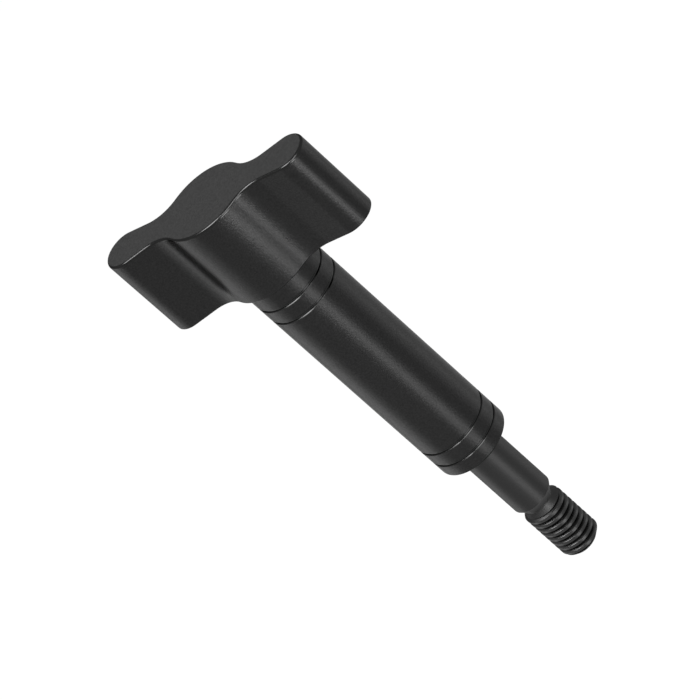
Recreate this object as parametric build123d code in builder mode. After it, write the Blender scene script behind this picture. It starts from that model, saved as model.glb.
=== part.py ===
from build123d import *
import math
import os

# A T-shaped hand knob, turned and milled from one bar: a cross-head with two wings on a long
# barrel with ring grooves, then a plain shank, a narrow neck and a threaded end.
# +Z runs up the axis to the head and +X along the wings. The origin is on the axis, at the
# shoulder where the barrel ends and the shank begins. Sizes are in millimetres.

# Cross-head
head_width = 31.6            # over the two wing ends
head_depth = 11.65           # over the two bulges of the hub
head_height = 13.2
hub_bulge_offset = 1.125     # from the axis to the centre of each bulge, on its far side
hub_flank_slope = 43.0       # degrees by which the flat flanks of the hub fall off beside its bulges
hollow_radius = 4.8          # between a flank and a wing
wing_end_radius = 2.93
wing_flare = 9.4             # degrees by which each side of a wing opens towards its end
top_edge_radius = 0.35
underside_edge_radius = 0.18

# Barrel
barrel_diameter = 10.7
barrel_length = 38.7         # from the shoulder to the underside of the head
barrel_edge_radius = 0.3

# Ring grooves around the barrel, a pair at each end
ring_width = 0.3
ring_depth = 0.16
ring_lip = 0.09              # chamfer on both lips of a ring
ring_spacing = 2.5           # between the two rings of a pair
shoulder_ring_inset = 2.3    # from the shoulder to its nearer ring
head_ring_inset = 2.7        # from the head to its nearer ring

# Shank, neck and threaded end
shank_diameter = 6.0
shank_length = 11.85         # from the shoulder to where it tapers to the neck
shank_taper = 33.0           # degrees from the axis
neck_diameter = 4.4          # undercut, deeper than the root of the thread
neck_length = 0.2            # between its two slopes
thread_rise = 37.0           # degrees from the axis, from the neck up to the crests
thread_diameter = 5.9        # over the crests of an M6 thread
thread_length = 9.35         # from the neck to the tip, with its slope and chamfer
tip_chamfer = 0.75

# Half sizes
barrel_radius = barrel_diameter / 2
shank_radius = shank_diameter / 2
neck_radius = neck_diameter / 2
thread_radius = thread_diameter / 2

# Places along the axis
shoulder_z = 0.0
head_bottom_z = shoulder_z + barrel_length
shank_end_z = shoulder_z - shank_length
neck_top_z = shank_end_z - (shank_radius - neck_radius) / math.tan(math.radians(shank_taper))
neck_bottom_z = neck_top_z - neck_length
crest_start_z = neck_bottom_z - (thread_radius - neck_radius) / math.tan(math.radians(thread_rise))
tip_z = neck_bottom_z - thread_length
shoulder_ring_z = shoulder_z + shoulder_ring_inset
head_ring_z = head_bottom_z - head_ring_inset
ring_places = [shoulder_ring_z, shoulder_ring_z + ring_spacing, head_ring_z - ring_spacing, head_ring_z]

# The sides of a wing touch its round end. Drawn on inwards, they cross the middle of the head at
# this distance from the X axis.
wing_centre = head_width / 2 - wing_end_radius
flare = math.radians(wing_flare)
wing_root = (wing_end_radius - wing_centre * math.sin(flare)) / math.cos(flare)

# The hub is a rhombus with its two blunt corners rounded into bulges. These are its corners'
# distances from the axis, along Y and along X.
hub_bulge_radius = head_depth / 2 + hub_bulge_offset
flank = math.radians(hub_flank_slope)
hub_peak = hub_bulge_radius / math.cos(flank) - hub_bulge_offset
hub_reach = hub_peak / math.tan(flank)

with BuildPart() as t_handle:
    # Head outline: the hub, two wings that widen outwards, and a hollow in each corner
    with BuildSketch(Plane.XY.offset(head_bottom_z)) as head_outline:
        with BuildLine():
            Polyline((hub_reach, 0), (0, hub_peak), (-hub_reach, 0), (0, -hub_peak), close=True)
        make_face()
        blunt_corners = head_outline.vertices().sort_by(Axis.Y)
        fillet([blunt_corners[0], blunt_corners[-1]], hub_bulge_radius)
        with BuildLine():
            wing_end = CenterArc((wing_centre, 0), wing_end_radius, -90 - wing_flare, 180 + 2 * wing_flare)
            Polyline(wing_end @ 1, (0, wing_root), (0, -wing_root), wing_end @ 0)
        make_face()
        mirror(about=Plane.YZ)
        # next out after the ends of the bulges
        hub_corners = head_outline.vertices().group_by(SortBy.DISTANCE)[1]
        fillet(hub_corners, hollow_radius)
    extrude(amount=head_height)
    underside = t_handle.faces().sort_by(Axis.Z)[0]
    fillet(underside.edges(), underside_edge_radius)
    top = t_handle.faces().sort_by(Axis.Z)[-1]
    fillet(top.edges(), top_edge_radius)

    # Everything below the head is turned. Its outline runs from the axis out and down to the tip.
    with BuildSketch(Plane.XZ) as turned_outline:
        with BuildLine():
            Polyline(
                (0, head_bottom_z),
                (barrel_radius, head_bottom_z),
                (barrel_radius, shoulder_z),
                (shank_radius, shoulder_z),
                (shank_radius, shank_end_z),
                (neck_radius, neck_top_z),
                (neck_radius, neck_bottom_z),
                (thread_radius, crest_start_z),
                (thread_radius, tip_z + tip_chamfer),
                (thread_radius - tip_chamfer, tip_z),
                (0, tip_z),
                close=True,
            )
        make_face()
        with Locations(*[(barrel_radius, z) for z in ring_places]):
            Rectangle(2 * ring_depth, ring_width, mode=Mode.SUBTRACT)
        barrel_corners = turned_outline.vertices().group_by(Axis.X)[-1].sort_by(Axis.Y)
        chamfer(barrel_corners[1:-1], ring_lip)
        shoulder_corner = turned_outline.vertices().group_by(Axis.X)[-1].sort_by(Axis.Y)[0]
        fillet(shoulder_corner, barrel_edge_radius)
    revolve(axis=Axis.Z)

t_handle.part.label = "t_handle"
os.makedirs("parts", exist_ok=True)
export_step(t_handle.part, "parts/t_handle.step")
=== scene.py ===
import math
import bmesh
import bpy
from mathutils import Matrix, Vector
from mathutils.geometry import intersect_line_line


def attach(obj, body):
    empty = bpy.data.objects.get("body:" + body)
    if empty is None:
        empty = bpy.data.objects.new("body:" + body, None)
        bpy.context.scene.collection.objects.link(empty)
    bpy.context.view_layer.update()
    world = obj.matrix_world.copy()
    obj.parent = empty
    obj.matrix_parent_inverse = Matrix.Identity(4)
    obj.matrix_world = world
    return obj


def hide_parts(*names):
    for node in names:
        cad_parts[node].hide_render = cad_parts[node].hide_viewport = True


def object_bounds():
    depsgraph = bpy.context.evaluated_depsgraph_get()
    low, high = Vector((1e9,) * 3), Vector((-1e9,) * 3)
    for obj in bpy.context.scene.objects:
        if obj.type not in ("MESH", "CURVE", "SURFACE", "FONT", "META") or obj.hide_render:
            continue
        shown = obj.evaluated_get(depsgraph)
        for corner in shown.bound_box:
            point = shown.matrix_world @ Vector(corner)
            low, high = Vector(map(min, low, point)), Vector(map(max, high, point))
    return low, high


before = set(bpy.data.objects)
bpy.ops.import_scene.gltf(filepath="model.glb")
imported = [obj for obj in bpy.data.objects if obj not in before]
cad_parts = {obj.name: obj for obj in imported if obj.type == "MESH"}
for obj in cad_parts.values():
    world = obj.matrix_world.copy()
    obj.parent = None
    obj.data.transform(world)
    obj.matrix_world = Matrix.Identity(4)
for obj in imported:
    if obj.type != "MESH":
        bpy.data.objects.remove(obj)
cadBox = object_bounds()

# A black T-shaped hand knob: cross-head, grooved barrel, plain shank, neck and threaded end.
# Sizes are in millimetres until a mesh is finished, then mm turns it into metres.
# Z is the axis with the head up, X the line of the wings, and z 0 the shoulder under the barrel.
mm = 0.001
touching = 0.0005            # vertices closer than this are merged
yAxis, zAxis = Vector((0, 1, 0)), Vector((0, 0, 1))
tipZ = cadBox[0].z / mm
headTopZ = cadBox[1].z / mm
headWidth = (cadBox[1].x - cadBox[0].x) / mm
headDepth = (cadBox[1].y - cadBox[0].y) / mm


def lineTo(bm, vertex, place):
    # draws an edge from a vertex to a place and returns the new end
    end = bm.verts.new(place)
    bm.edges.new((vertex, end))
    return end


def arcTo(bm, vertex, centre, axis, degrees, steps):
    # carries the line on round a centre and returns the new end
    made = bmesh.ops.spin(bm, geom=[vertex], cent=centre, axis=axis, angle=math.radians(degrees),
                          steps=steps, use_duplicate=False)
    return next(item for item in made["geom_last"] if isinstance(item, bmesh.types.BMVert))


def bevelEdges(bm, edges, width, segments):
    bmesh.ops.bevel(bm, geom=edges, offset=width, offset_type="OFFSET", affect="EDGES",
                    segments=segments, profile=0.5, material=-1)


def smoothUpTo(bm, degrees):
    # smooth shading, with a sharp edge wherever two faces meet at more than this angle
    for face in bm.faces:
        face.smooth = True
    for edge in bm.edges:
        edge.smooth = edge.is_manifold and edge.calc_face_angle() < math.radians(degrees)


def toMetres(bm):
    bmesh.ops.scale(bm, verts=bm.verts[:], vec=(mm, mm, mm))


def makeObject(bm, name):
    mesh = bpy.data.meshes.new(name)
    bm.to_mesh(mesh)
    bm.free()
    piece = bpy.data.objects.new(name, mesh)
    bpy.context.scene.collection.objects.link(piece)
    return piece


def settle(piece):
    # applies the modifiers
    graph = bpy.context.evaluated_depsgraph_get()
    mesh = bpy.data.meshes.new_from_object(piece.evaluated_get(graph))
    piece.modifiers.clear()
    piece.data = mesh


# Cross-head: a quarter of its outline is drawn at the top, mirrored twice and carried down
head = {
    "height": 13.2,
    "hubBulgeRadius": 6.95,
    "flankSlope": 43.0,      # degrees, on the flat stretches beside the bulges
    "hollowRadius": 4.8,
    "wingEndRadius": 2.93,
    "wingFlare": 9.4,        # degrees each side opens towards the wing's end
    "topEdge": 0.35,
    "undersideEdge": 0.18,
    "edgeSegments": 5,
    "arcSteps": 26,
}
headBottomZ = headTopZ - head["height"]


def drawHead(bm, s):
    hubCentre = Vector((0, s["hubBulgeRadius"] - headDepth / 2, headTopZ))
    wingCentre = Vector((headWidth / 2 - s["wingEndRadius"], 0, headTopZ))
    slope, flare = math.radians(s["flankSlope"]), math.radians(s["wingFlare"])
    offFlank = Vector((math.sin(slope), -math.cos(slope), 0))
    offSide = Vector((-math.sin(flare), -math.cos(flare), 0))
    flankStart = hubCentre + s["hubBulgeRadius"] * offFlank
    sideEnd = wingCentre + s["wingEndRadius"] * offSide

    # the hollow's centre is its own radius off both the flank and the wing's side
    nearFlank = flankStart + s["hollowRadius"] * offFlank
    nearSide = sideEnd + s["hollowRadius"] * offSide
    hollowCentre = intersect_line_line(nearFlank, nearFlank + zAxis.cross(offFlank),
                                       nearSide, nearSide + zAxis.cross(offSide))[0]

    end = bm.verts.new((0, -headDepth / 2, headTopZ))
    end = arcTo(bm, end, hubCentre, zAxis, s["flankSlope"], s["arcSteps"])
    end = lineTo(bm, end, hollowCentre - s["hollowRadius"] * offFlank)
    end = arcTo(bm, end, hollowCentre, zAxis, -s["flankSlope"] - s["wingFlare"], s["arcSteps"])
    end = lineTo(bm, end, sideEnd)
    end = arcTo(bm, end, wingCentre, zAxis, 90 + s["wingFlare"], s["arcSteps"])
    for side in ("X", "Y"):
        bmesh.ops.mirror(bm, geom=bm.verts[:] + bm.edges[:], axis=side, merge_dist=touching)

    # side wall, top and underside, then both rims are rounded
    topRim = bm.edges[:]
    wall = bmesh.ops.extrude_edge_only(bm, edges=topRim)["geom"]
    lower = [item for item in wall if isinstance(item, bmesh.types.BMVert)]
    bmesh.ops.translate(bm, verts=lower, vec=(0, 0, -s["height"]))
    bottomRim = [edge for edge in bm.edges if all(vertex in lower for vertex in edge.verts)]
    bmesh.ops.contextual_create(bm, geom=topRim)
    bmesh.ops.contextual_create(bm, geom=bottomRim)
    bmesh.ops.recalc_face_normals(bm, faces=bm.faces[:])
    bevelEdges(bm, topRim, s["topEdge"], s["edgeSegments"])
    bevelEdges(bm, bottomRim, s["undersideEdge"], s["edgeSegments"])


# Everything under the head is turned, so it is one outline spun round the axis
turned = {
    "segments": 192,
    "barrelRadius": 5.35,
    "barrelEdge": 0.3,
    "edgeSegments": 5,
    "ringWidth": 0.3,
    "ringDepth": 0.16,
    "ringLip": 0.09,
    "ringSpacing": 2.5,
    "shoulderRing": 2.3,     # from the shoulder to its nearer ring
    "headRing": 2.7,         # from the head to its nearer ring
    "shankRadius": 3.0,
    "shankLength": 11.85,
    "shankTaper": 33.0,      # degrees from the axis, down to the neck
    "neckRadius": 2.2,
    "neckLength": 0.2,
    "threadRise": 37.0,      # degrees from the axis, up to the crests
    "crestRadius": 2.95,
    "tipChamfer": 0.75,
}


def slopeEnd(z, fromRadius, toRadius, degrees):
    # where a slope at this angle from the axis, begun at z, reaches its other radius
    return z - abs(fromRadius - toRadius) / math.tan(math.radians(degrees))


# Places along the axis, from the head down
ringsZ = [
    headBottomZ - turned["headRing"],
    headBottomZ - turned["headRing"] - turned["ringSpacing"],
    turned["shoulderRing"] + turned["ringSpacing"],
    turned["shoulderRing"],
]
shankEndZ = -turned["shankLength"]
neckTopZ = slopeEnd(shankEndZ, turned["shankRadius"], turned["neckRadius"], turned["shankTaper"])
neckBottomZ = neckTopZ - turned["neckLength"]
crestStartZ = slopeEnd(neckBottomZ, turned["neckRadius"], turned["crestRadius"],
                       turned["threadRise"])


def drawTurned(bm, s):
    # barrel with its rings, each a groove with a chamfered lip on both sides
    wall, lip, half = s["barrelRadius"], s["ringLip"], s["ringWidth"] / 2
    end = bm.verts.new((wall, 0, headBottomZ))
    for z in ringsZ:
        for inwards, up in ((0, half + lip), (lip, half), (s["ringDepth"], half),
                            (s["ringDepth"], -half), (lip, -half), (0, -half - lip)):
            end = lineTo(bm, end, (wall - inwards, 0, z + up))

    # rounded shoulder, shank, neck between two slopes, crests and tip
    rounding = s["barrelEdge"]
    end = lineTo(bm, end, (wall, 0, rounding))
    end = arcTo(bm, end, (wall - rounding, 0, rounding), yAxis, 90, s["edgeSegments"])
    for radius, z in ((s["shankRadius"], 0),
                      (s["shankRadius"], shankEndZ),
                      (s["neckRadius"], neckTopZ),
                      (s["neckRadius"], neckBottomZ),
                      (s["crestRadius"], crestStartZ),
                      (s["crestRadius"], tipZ + s["tipChamfer"]),
                      (s["crestRadius"] - s["tipChamfer"], tipZ),
                      (0, tipZ)):
        end = lineTo(bm, end, (radius, 0, z))
    outline = [edge for edge in bm.edges if edge.is_wire]
    bmesh.ops.spin(bm, geom=outline, axis=zAxis, angle=math.tau, steps=s["segments"],
                   use_merge=True, use_duplicate=False)
    bmesh.ops.remove_doubles(bm, verts=bm.verts[:], dist=touching)


# The thread is cut by one long helical tooth
thread = {
    "pitch": 1.0,
    "hand": -1,              # -1 is left-handed, 1 is right-handed
    "rootRadius": 2.5,
    "rootFlat": 0.06,
    "flank": 30.0,           # degrees from square to the axis
    "crestFlat": 0.3,
    "crestBevel": 0.04,      # under the crest, where the flank bends outwards
    "mouth": (0.01, 0.09),   # past the crest: where the bend ends, and the tooth
    "stepsPerTurn": 96,
    "startZ": -13.28,        # clear of the neck
    "startTurn": 0.0,        # degrees round the axis at which it starts
    "turns": 10,
}


def drawTooth(bm, s):
    # section of the tooth, from its root flat out to just past the crest
    root, crest = s["rootRadius"], turned["crestRadius"]
    flankTop = crest - s["crestBevel"]
    rootHalf = s["rootFlat"] / 2
    flankHalf = rootHalf + (flankTop - root) * math.tan(math.radians(s["flank"]))
    mouthHalf = (s["pitch"] - s["crestFlat"]) / 2
    upper = [(root, rootHalf), (flankTop, flankHalf),
             (crest + s["mouth"][0], mouthHalf), (crest + s["mouth"][1], mouthHalf)]
    outline = [(radius, -up) for radius, up in upper] + upper[::-1]
    bm.faces.new([bm.verts.new((radius, 0, s["startZ"] + up)) for radius, up in outline])
    turn = Matrix.Rotation(math.radians(s["startTurn"]), 3, "Z")
    bmesh.ops.rotate(bm, verts=bm.verts[:], cent=(0, 0, 0), matrix=turn)
    bmesh.ops.spin(bm, geom=bm.verts[:] + bm.edges[:] + bm.faces[:], axis=zAxis,
                   angle=-s["hand"] * math.tau * s["turns"], steps=s["stepsPerTurn"] * s["turns"],
                   dvec=(0, 0, -s["pitch"] / s["stepsPerTurn"]), use_duplicate=False)
    bmesh.ops.recalc_face_normals(bm, faces=bm.faces[:])


# Black all over. Head and barrel are blasted, then their edges and rings are cut smooth. The plain
# shank and neck are duller. The thread is a little lighter, partly as painted light for the shade
# between its ridges, and the taper under the shank is much lighter, as painted light in its shaded
# recess
finishes = {
    "black anodised, blasted": {
        "colour": (0.0165, 0.0245),    # of the darkest and the lightest specks
        "edgeTint": 0.5,               # how much of its gloss it keeps where it is seen edge-on
        "roughness": (0.26, 0.31),     # of the glossiest and the dullest patches
        "grainPerMm": 5.0,
        "grainHeight": 0.018,
    },
    "black anodised, cut": {
        "colour": (0.018, 0.023),
        "edgeTint": 0.5,
        "roughness": (0.17, 0.21),
        "grainPerMm": 9.0,
        "grainHeight": 0.001,
    },
    "blackened, plain": {
        "colour": (0.023, 0.03),
        "edgeTint": 0.5,
        "roughness": (0.39, 0.43),
        "grainPerMm": 9.0,
        "grainHeight": 0.002,
    },
    "blackened, cut, partly painted light": {
        # lighter than the plain shank: partly cut steel's own tone, partly painted light for the
        # shade between the ridges
        "colour": (0.031, 0.041),
        "edgeTint": 0.42,
        "roughness": (0.25, 0.31),
        "grainPerMm": 9.0,
        "grainHeight": 0.001,
    },
    "blackened, taper, painted light": {
        # painted light: several times lighter than the plain shank, to lift the shade in the
        # recess under it
        "colour": (0.075, 0.085),
        "edgeTint": 0.5,
        "roughness": (0.5, 0.55),
        "grainPerMm": 9.0,
        "grainHeight": 0.001,
    },
}

# What all the finishes share
pattern = {
    "grainDetail": 3,
    "grainRange": (0.3, 0.7),    # of the noise, spread over the two colours
    "patchesPerMm": 0.6,
}

# How a face's finish is told, by the height of its middle and the z of its normal
faceTest = {
    "aboveSeam": 0.01,       # over the head's underside, from where a face belongs to the head
    "upright": 0.02,         # a normal with less z belongs to a wall
    "level": 0.98,           # and one with more to a flat end
}


def finishOf(face, s):
    # the name of the finish that a face has; those of the thread and of the taper carry painted
    # light
    z, up = face.calc_center_median().z / mm, abs(face.normal.z)
    # the thread: its lighter colour is partly painted light, lifting the shade between its ridges
    if z <= crestStartZ:
        return "blackened, cut, partly painted light"
    # painted light: the taper's lighter colour stands in for light that its shaded recess does not
    # get
    if neckTopZ < z < shankEndZ:
        return "blackened, taper, painted light"
    if z < 0:
        return "blackened, plain"
    if z > headBottomZ + s["aboveSeam"]:
        isCut = s["upright"] < up < s["level"]
    elif any(abs(z - ring) < turned["ringWidth"] / 2 + turned["ringLip"] for ring in ringsZ):
        isCut = True
    else:
        isCut = z < turned["barrelEdge"] and up > s["upright"]
    return "black anodised, cut" if isCut else "black anodised, blasted"


def spreadOver(tree, noise, limits, pair, socket):
    # spreads a noise between two limits over a pair of values, for one socket
    spread = tree.nodes.new("ShaderNodeMapRange")
    spread.inputs["From Min"].default_value, spread.inputs["From Max"].default_value = limits
    spread.inputs["To Min"].default_value, spread.inputs["To Max"].default_value = pair
    tree.links.new(noise.outputs["Fac"], spread.inputs["Value"])
    tree.links.new(spread.outputs["Result"], socket)


def blackFinish(name, s):
    material = bpy.data.materials.new(name)
    material.use_nodes = True
    tree = material.node_tree
    nodes, links = tree.nodes, tree.links
    shader = nodes["Principled BSDF"]
    shader.inputs["Metallic"].default_value = 1
    shader.inputs["Specular Tint"].default_value = (s["edgeTint"], s["edgeTint"], s["edgeTint"], 1)
    place = nodes.new("ShaderNodeTexCoord")
    toMm = nodes.new("ShaderNodeMapping")
    toMm.inputs["Scale"].default_value = (1 / mm, 1 / mm, 1 / mm)
    links.new(place.outputs["Object"], toMm.inputs["Vector"])

    # grain, as fine bumps and as speckles of colour
    grain = nodes.new("ShaderNodeTexNoise")
    grain.inputs["Scale"].default_value = s["grainPerMm"]
    grain.inputs["Detail"].default_value = pattern["grainDetail"]
    links.new(toMm.outputs["Vector"], grain.inputs["Vector"])
    bump = nodes.new("ShaderNodeBump")
    bump.inputs["Strength"].default_value = 1
    bump.inputs["Distance"].default_value = s["grainHeight"] * mm
    links.new(grain.outputs["Fac"], bump.inputs["Height"])
    links.new(bump.outputs["Normal"], shader.inputs["Normal"])
    spreadOver(tree, grain, pattern["grainRange"], s["colour"], shader.inputs["Base Color"])

    patches = nodes.new("ShaderNodeTexNoise")
    patches.inputs["Scale"].default_value = pattern["patchesPerMm"]
    links.new(toMm.outputs["Vector"], patches.inputs["Vector"])
    spreadOver(tree, patches, (0, 1), s["roughness"], shader.inputs["Roughness"])
    return material


# The whole knob
knobSettings = {
    "sharpFrom": 24.0,       # degrees between two faces, from which their edge stays sharp
}


def buildKnob(s):
    # the head's underside is drawn anew, as a ring from its rim in to the barrel
    bm = bmesh.new()
    drawHead(bm, head)
    underside = min(bm.faces, key=lambda face: face.calc_center_median().z)
    bmesh.ops.delete(bm, geom=[underside], context="FACES_ONLY")
    drawTurned(bm, turned)
    openRims = [edge for edge in bm.edges if edge.is_boundary]
    bmesh.ops.triangle_fill(bm, edges=openRims, use_beauty=True)
    bmesh.ops.recalc_face_normals(bm, faces=bm.faces[:])
    toMetres(bm)
    knob = makeObject(bm, "t_handle_finished")

    # the tooth cuts the thread, and goes
    bm = bmesh.new()
    drawTooth(bm, thread)
    toMetres(bm)
    tooth = makeObject(bm, "thread_tooth")
    cut = knob.modifiers.new("thread", "BOOLEAN")
    cut.operation = "DIFFERENCE"
    cut.solver = "MANIFOLD"
    cut.object = tooth
    settle(knob)
    bpy.data.objects.remove(tooth)
    knob.data.materials.clear()

    # shading, and each face's finish by the number of its slot
    slots = list(finishes)
    bm = bmesh.new()
    bm.from_mesh(knob.data)
    smoothUpTo(bm, s["sharpFrom"])
    for face in bm.faces:
        face.material_index = slots.index(finishOf(face, faceTest))
    bm.to_mesh(knob.data)
    bm.free()
    even = knob.modifiers.new("even shading", "WEIGHTED_NORMAL")
    even.keep_sharp = True
    settle(knob)
    return knob


knob = buildKnob(knobSettings)
print("knob", len(knob.data.polygons), "faces")

for name, settings in finishes.items():
    knob.data.materials.append(blackFinish(name, settings))
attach(knob, "root")
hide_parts("t_handle")
print("finish on")


# White floor and backdrop, well below the knob, which its thread holds up
room = {
    "floorZ": -400.0,
    "floorSize": 6000.0,
    "paper": 0.85,           # colour of the floor
    "paperRoughness": 0.9,
    "glowShare": 0.8,        # how much of what is seen of the floor is its own glow
    "white": 1.03,           # strength of that glow
}


def makeFloor(s):
    bm = bmesh.new()
    bmesh.ops.create_grid(bm, x_segments=1, y_segments=1, size=s["floorSize"] / 2 * mm)
    bmesh.ops.translate(bm, verts=bm.verts[:], vec=(0, 0, s["floorZ"] * mm))
    floor = makeObject(bm, "floor")
    material = bpy.data.materials.new("white floor")
    material.use_nodes = True
    nodes, links = material.node_tree.nodes, material.node_tree.links
    paper = nodes["Principled BSDF"]
    paper.inputs["Base Color"].default_value = (s["paper"], s["paper"], s["paper"], 1)
    paper.inputs["Roughness"].default_value = s["paperRoughness"]
    paper.inputs["Specular IOR Level"].default_value = 0

    # the camera, reflections and clear materials see it mostly as a white glow. The rest is the
    # lit paper, so a shadow still shows on it
    rays = nodes.new("ShaderNodeLightPath")
    mirrored = nodes.new("ShaderNodeMath")
    mirrored.operation = "MAXIMUM"
    links.new(rays.outputs["Is Glossy Ray"], mirrored.inputs[0])
    links.new(rays.outputs["Is Transmission Ray"], mirrored.inputs[1])
    seen = nodes.new("ShaderNodeMath")
    seen.operation = "MAXIMUM"
    links.new(rays.outputs["Is Camera Ray"], seen.inputs[0])
    links.new(mirrored.outputs["Value"], seen.inputs[1])
    share = nodes.new("ShaderNodeMath")
    share.operation = "MULTIPLY"
    share.inputs[1].default_value = s["glowShare"]
    links.new(seen.outputs["Value"], share.inputs[0])
    glow = nodes.new("ShaderNodeEmission")
    glow.inputs["Strength"].default_value = s["white"]
    mix = nodes.new("ShaderNodeMixShader")
    links.new(share.outputs["Value"], mix.inputs["Fac"])
    links.new(paper.outputs["BSDF"], mix.inputs[1])
    links.new(glow.outputs["Emission"], mix.inputs[2])
    links.new(mix.outputs["Shader"], nodes["Material Output"].inputs["Surface"])
    floor.data.materials.append(material)


def makeWorld():
    world = bpy.data.worlds.new("white room")
    world.use_nodes = True
    background = world.node_tree.nodes["Background"]
    background.inputs["Color"].default_value = (1, 1, 1, 1)
    background.inputs["Strength"].default_value = 1
    bpy.context.scene.world = world


makeFloor(room)
makeWorld()

# Soft lamps: where each stands as seen from the knob, in degrees, with width and height in
# millimetres. All stand equally far from a point on the axis
lampStand = {"away": 400.0, "aimZ": 15.0}
lamps = {
    "stripLamp": {"azimuth": -46, "elevation": -27, "size": (130, 340), "power": 0.43},
    "stripTopLamp": {"azimuth": -57, "elevation": -4, "size": (140, 130), "power": 1.2},
    "leftLamp": {"azimuth": -178, "elevation": -24, "size": (220, 320), "power": 0.95},
    "leftFillLamp": {"azimuth": -150, "elevation": -24, "size": (120, 320), "power": 0.15},
    "rightLamp": {"azimuth": 60, "elevation": -25, "size": (300, 290), "power": 0.45},
    "rightFillLamp": {"azimuth": 30, "elevation": -25, "size": (200, 290), "power": 0.15},
    "backLamp": {"azimuth": 123, "elevation": 33, "size": (220, 220), "power": 0.36},
    "frontTopLamp": {"azimuth": -113, "elevation": 65, "size": (205, 190), "power": 2.4},
    "topLamp": {"azimuth": -45, "elevation": 45, "size": (200, 200), "power": 1.3},
    "lowLamp": {"azimuth": -110, "elevation": -40, "size": (300, 200), "power": 0.06},
}


def makeLamp(name, s, stand):
    light = bpy.data.lights.new(name, "AREA")
    light.shape = "RECTANGLE"
    light.size, light.size_y = s["size"][0] * mm, s["size"][1] * mm
    light.energy = s["power"]
    lamp = bpy.data.objects.new(name, light)
    bpy.context.scene.collection.objects.link(lamp)
    azimuth, elevation = math.radians(s["azimuth"]), math.radians(s["elevation"])
    direction = Vector((math.cos(azimuth) * math.cos(elevation),
                        math.sin(azimuth) * math.cos(elevation),
                        math.sin(elevation)))
    lamp.location = direction * stand["away"] * mm + Vector((0, 0, stand["aimZ"] * mm))
    lamp.rotation_mode = "QUATERNION"
    lamp.rotation_quaternion = direction.to_track_quat("Z", "Y")
    lamp.visible_camera = False


for name, settings in lamps.items():
    makeLamp(name, settings, lampStand)


# Camera as in the photograph: far away, long lens, rolled so the axis runs across the picture
view = {
    "place": (272.783, -421.121, 316.566),
    "aim": (-3.243, 1.934, 20.435),
    "roll": -48.36,          # degrees
    "lens": 240.0,
    "sensor": 36.0,
    "clip": (0.01, 20.0),    # metres
}


def makeCamera(s):
    camera = bpy.data.objects.new("camera", bpy.data.cameras.new("camera"))
    camera.data.sensor_width = s["sensor"]
    camera.data.lens = s["lens"]
    camera.data.clip_start, camera.data.clip_end = s["clip"]
    bpy.context.scene.collection.objects.link(camera)
    place, aim = Vector(s["place"]) * mm, Vector(s["aim"]) * mm
    upright = (place - aim).to_track_quat("Z", "Y")
    roll = Matrix.Rotation(math.radians(s["roll"]), 3, "Z").to_quaternion()
    camera.location = place
    camera.rotation_mode = "QUATERNION"
    camera.rotation_quaternion = upright @ roll
    bpy.context.scene.camera = camera


makeCamera(view)
bpy.context.scene.view_settings.view_transform = "Standard"
print("room, lamps and camera set")
